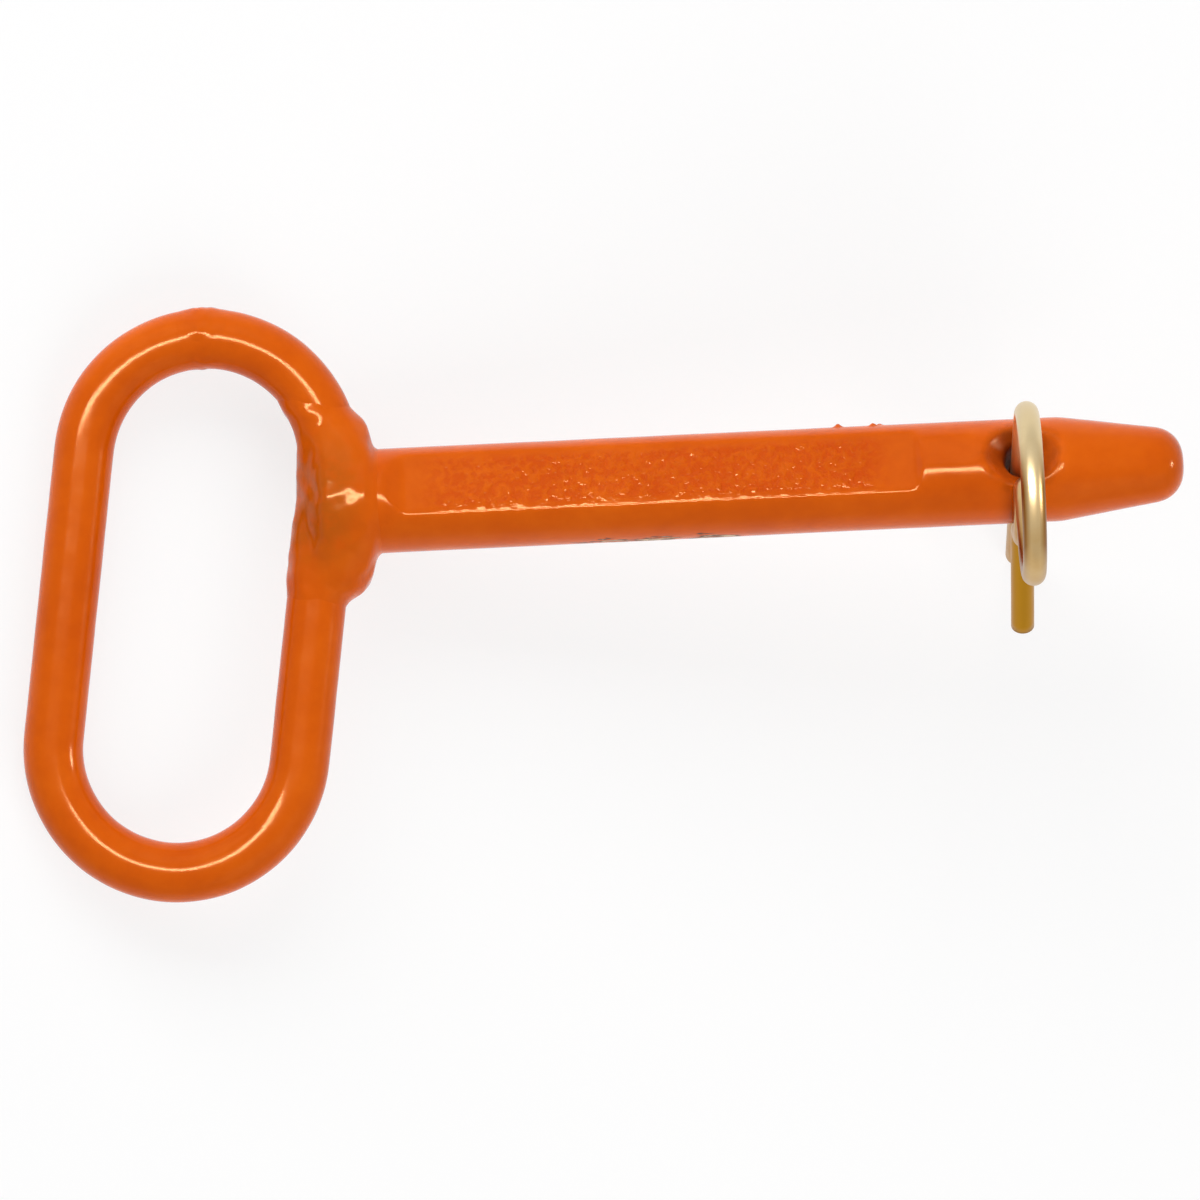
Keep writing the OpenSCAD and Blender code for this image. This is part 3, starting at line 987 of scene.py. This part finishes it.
        swell(bm, crown)
        place_piece("enamelled_seam_weld", bm, handle_frame(s),
                    enamel_material("alkyd_enamel_pooled_seam", handle_frame(s), 2.6),
                    "pin", "weld_enamel", "loop_seam_weld")


def touching(p, a, q, b):
    """The point at distance a from p and b from q, on the left of the line from p to q."""
    way = q - p
    along = (a * a - b * b + way.length_squared) / (2 * way.length)
    up = sqrt(a * a - along * along)
    unit = way.normalized()
    return p + along * unit + up * Vector((-unit.y, unit.x))


def heading(p, q):
    """The direction from p to q, in radians."""
    return atan2(q.y - p.y, q.x - p.x)


CUT_CHAMFER = 0.4  # chamfer of the outer leg's cut end, in millimetres


class HITCHPIN_OT_clip(bpy.types.Operator):
    """Make the hairpin clip: one length of spring wire bent round its eye and the pin"""

    bl_idname = "hitch_pin.clip"
    bl_label = "Hairpin Clip"

    def execute(self, context):
        s = sizes()
        eye_r = (s.eye_d - s.wire_d) / 2
        eye = Vector((-s.eye_reach, eye_r))
        pin = Vector((0, -s.leg_shift))
        wrap_r = s.pin_r + s.clip_clearance + s.wire_r
        neck = touching(eye, eye_r + s.neck_r, pin, wrap_r + s.neck_r)
        throat_t = s.wire_d + s.throat_gap + s.throat_r
        throat_x = sqrt((wrap_r + s.throat_r) ** 2 - (throat_t - pin.y) ** 2)
        throat = Vector((throat_x, throat_t))
        tip = s.leg_reach - s.wire_r

        bm = bmesh.new()
        # from the tip of the straight leg, against +X
        begin = Matrix.Translation((tip, 0, 0)) @ Matrix.Rotation(-pi / 2, 4, "Y")
        verts, edges = ring(bm, s.wire_r, WIRE_SIDES, begin)
        self.round_end(bm, verts, edges, Vector((tip, 0, 0)), s.wire_r)
        step = (-(tip + s.eye_reach) / LEG_STEPS, 0, 0)
        verts, edges = run_straight(bm, verts, edges, step, LEG_STEPS)
        # the eye, then the bends round the pin, each turn about its own middle
        eye_end = heading(eye, neck)
        turns = [
            (eye, -(1.5 * pi - eye_end)),
            (neck, heading(neck, pin) + 2 * pi - heading(neck, eye)),
            (pin, -(heading(pin, neck) - heading(pin, throat))),
            (throat, s.flare_angle - pi / 2 - heading(throat, pin)),
        ]
        for middle, angle in turns:
            # at most one full turn either way, in steps of about 3 degrees
            angle = angle % (2 * pi) if angle > 0 else -((-angle) % (2 * pi))
            verts, edges = run_bend(bm, verts, edges, (middle.x, middle.y, 0), (0, 0, 1),
                                    angle, max(12, int(abs(degrees(angle)) / 3)))
        flare = Vector((cos(s.flare_angle), sin(s.flare_angle), 0))
        step = flare * (s.flare_len - CUT_CHAMFER) / FLARE_STEPS
        verts, edges = run_straight(bm, verts, edges, step, FLARE_STEPS)
        # the cut end, with its burr knocked off
        verts, edges = run_straight(bm, verts, edges, flare * CUT_CHAMFER, 1)
        middle = sum((v.co for v in verts), Vector()) / len(verts)
        bmesh.ops.scale(bm, verts=verts, vec=(1 - CUT_CHAMFER / s.wire_r,) * 3,
                        space=Matrix.Translation(-middle))
        close_ring(bm, edges)
        bmesh.ops.recalc_face_normals(bm, faces=bm.faces)
        place_piece("zinc_plated_clip", bm, clip_frame(s), zinc_material(clip_frame(s)),
                    "clip", "zinc_wire", "hairpin_clip")
        return {"FINISHED"}

    def round_end(self, bm, verts, edges, centre, radius):
        """Rounds the leg's tip with shrinking rings out along +X."""
        for i in range(1, TIP_STEPS + 1):
            a, b = pi / 2 * (i - 1) / TIP_STEPS, pi / 2 * i / TIP_STEPS
            verts, edges = run_straight(bm, verts, edges,
                                        (radius * (sin(b) - sin(a)), 0, 0), 1)
            at = centre + Vector((radius * sin(b), 0, 0))
            # the last ring keeps a small radius, so that the pole closes with a clean face
            shrink = max(cos(b), 0.02) / cos(a)
            bmesh.ops.scale(bm, verts=verts, vec=(1, shrink, shrink),
                            space=Matrix.Translation(-at))
        close_ring(bm, edges)


class HITCHPIN_PT_pieces(bpy.types.Panel):
    """The hitch pin's pieces, sizes and colours"""

    bl_idname = "HITCHPIN_PT_pieces"
    bl_label = "Hitch Pin"
    bl_space_type = "VIEW_3D"
    bl_region_type = "UI"
    bl_category = "Hitch Pin"

    def draw(self, context):
        for operator in OPERATORS:
            self.layout.operator(operator.bl_idname)
        for group in (context.scene.hitch_pin_sizes, context.scene.hitch_pin_colours):
            box = self.layout.box()
            for name in group.__annotations__:
                box.prop(group, name)


OPERATORS = (HITCHPIN_OT_stage, HITCHPIN_OT_shank, HITCHPIN_OT_handle, HITCHPIN_OT_welds,
             HITCHPIN_OT_clip)
CLASSES = (HitchPinSizes, HitchPinColours, *OPERATORS, HITCHPIN_PT_pieces)


def register():
    for cls in CLASSES:
        bpy.utils.register_class(cls)
    bpy.types.Scene.hitch_pin_sizes = PointerProperty(type=HitchPinSizes)
    bpy.types.Scene.hitch_pin_colours = PointerProperty(type=HitchPinColours)


def unregister():
    del bpy.types.Scene.hitch_pin_colours
    del bpy.types.Scene.hitch_pin_sizes
    for cls in reversed(CLASSES):
        bpy.utils.unregister_class(cls)


def main():
    register()
    for operator in OPERATORS:
        family, name = operator.bl_idname.split(".")
        if getattr(getattr(bpy.ops, family), name)() != {"FINISHED"}:
            raise RuntimeError(f"{operator.bl_label} was not made")


if __name__ == "__main__":
    main()
